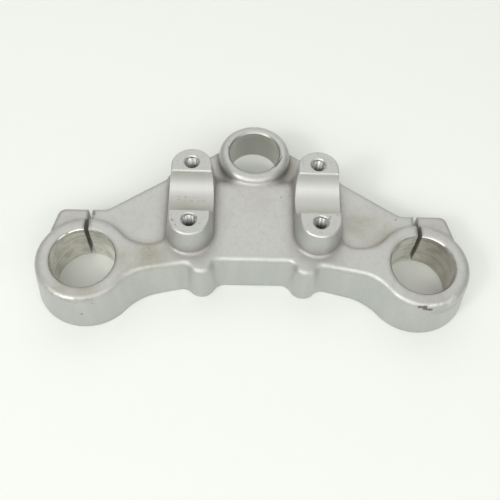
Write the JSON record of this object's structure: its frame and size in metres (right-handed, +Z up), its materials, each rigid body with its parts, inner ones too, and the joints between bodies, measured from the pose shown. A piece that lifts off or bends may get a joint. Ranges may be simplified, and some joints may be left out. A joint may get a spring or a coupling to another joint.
{
  "type": "motorcycle triple clamp",
  "caption": "Forged aluminium top fork clamp with split fork rings, a central stem boss and two raised pedestals with a round handlebar seat.",
  "frame": {"origin": "on the steering stem axis, at the upper face of the stem boss", "axes": "+Z up along the stem axis, -Y to the front of the motorcycle, X across it"},
  "size_m": [0.213, 0.1052, 0.0402],
  "materials": {
    "satin_aluminium": "satin bead-blasted aluminium forging with bright machined bores, stained and scuffed by use"
  },
  "bodies": {
    "root": {"triple_clamp": "satin_aluminium"}
  },
  "joints": []
}
